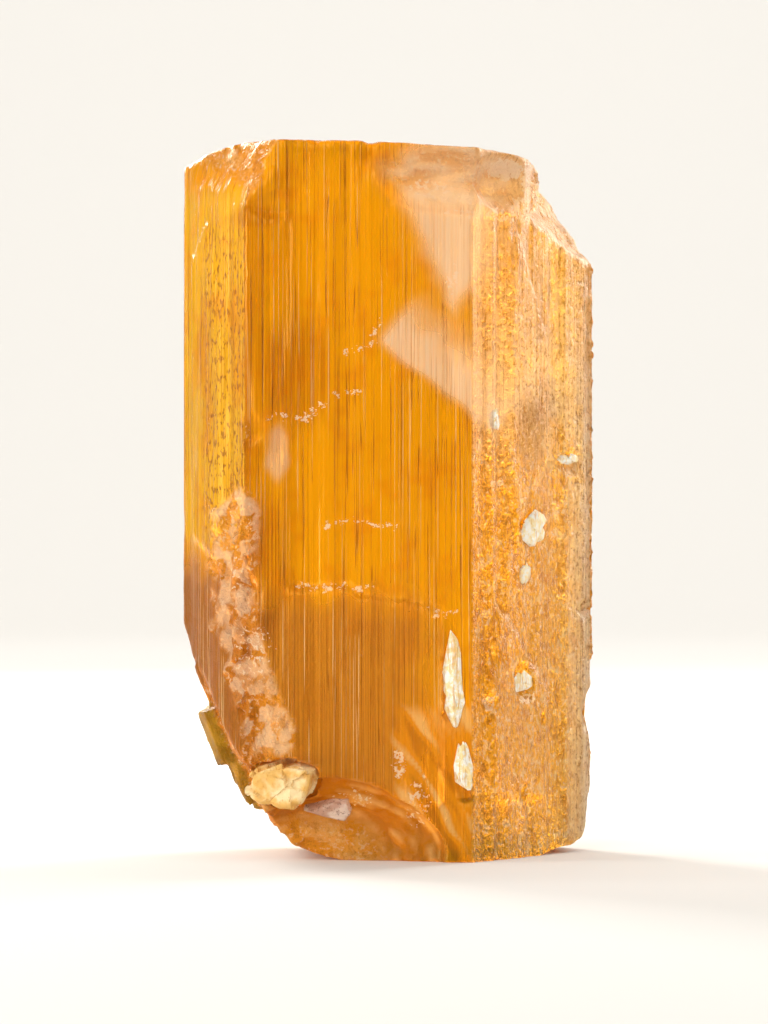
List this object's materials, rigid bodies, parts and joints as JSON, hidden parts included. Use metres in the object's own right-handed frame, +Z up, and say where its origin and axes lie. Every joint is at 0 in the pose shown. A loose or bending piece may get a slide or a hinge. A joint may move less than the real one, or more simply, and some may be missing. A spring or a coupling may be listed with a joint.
{
  "type": "beryl",
  "caption": "Stout six-sided crystal of golden beryl with grooved faces, a broken foot and small side crystals on its flank",
  "frame": {"origin": "centre of the bounding box in plan, on the surface that the crystal stands on", "axes": "+Z runs up the crystal's long axis, -Y is the broad front face, +X is to the right of it"},
  "size_m": [0.0352, 0.0266, 0.0605],
  "materials": {
    "golden_beryl": "clear amber crystal, silky on its grooved faces, frosted where etched or broken",
    "cream_feldspar": "cream, dull, broken",
    "tan_mica": "tan to pink, speckled, finely split"
  },
  "bodies": {
    "root": {"beryl_crystal": "golden_beryl", "feldspar_chip": "cream_feldspar", "mica_blade": "tan_mica"}
  },
  "joints": []
}
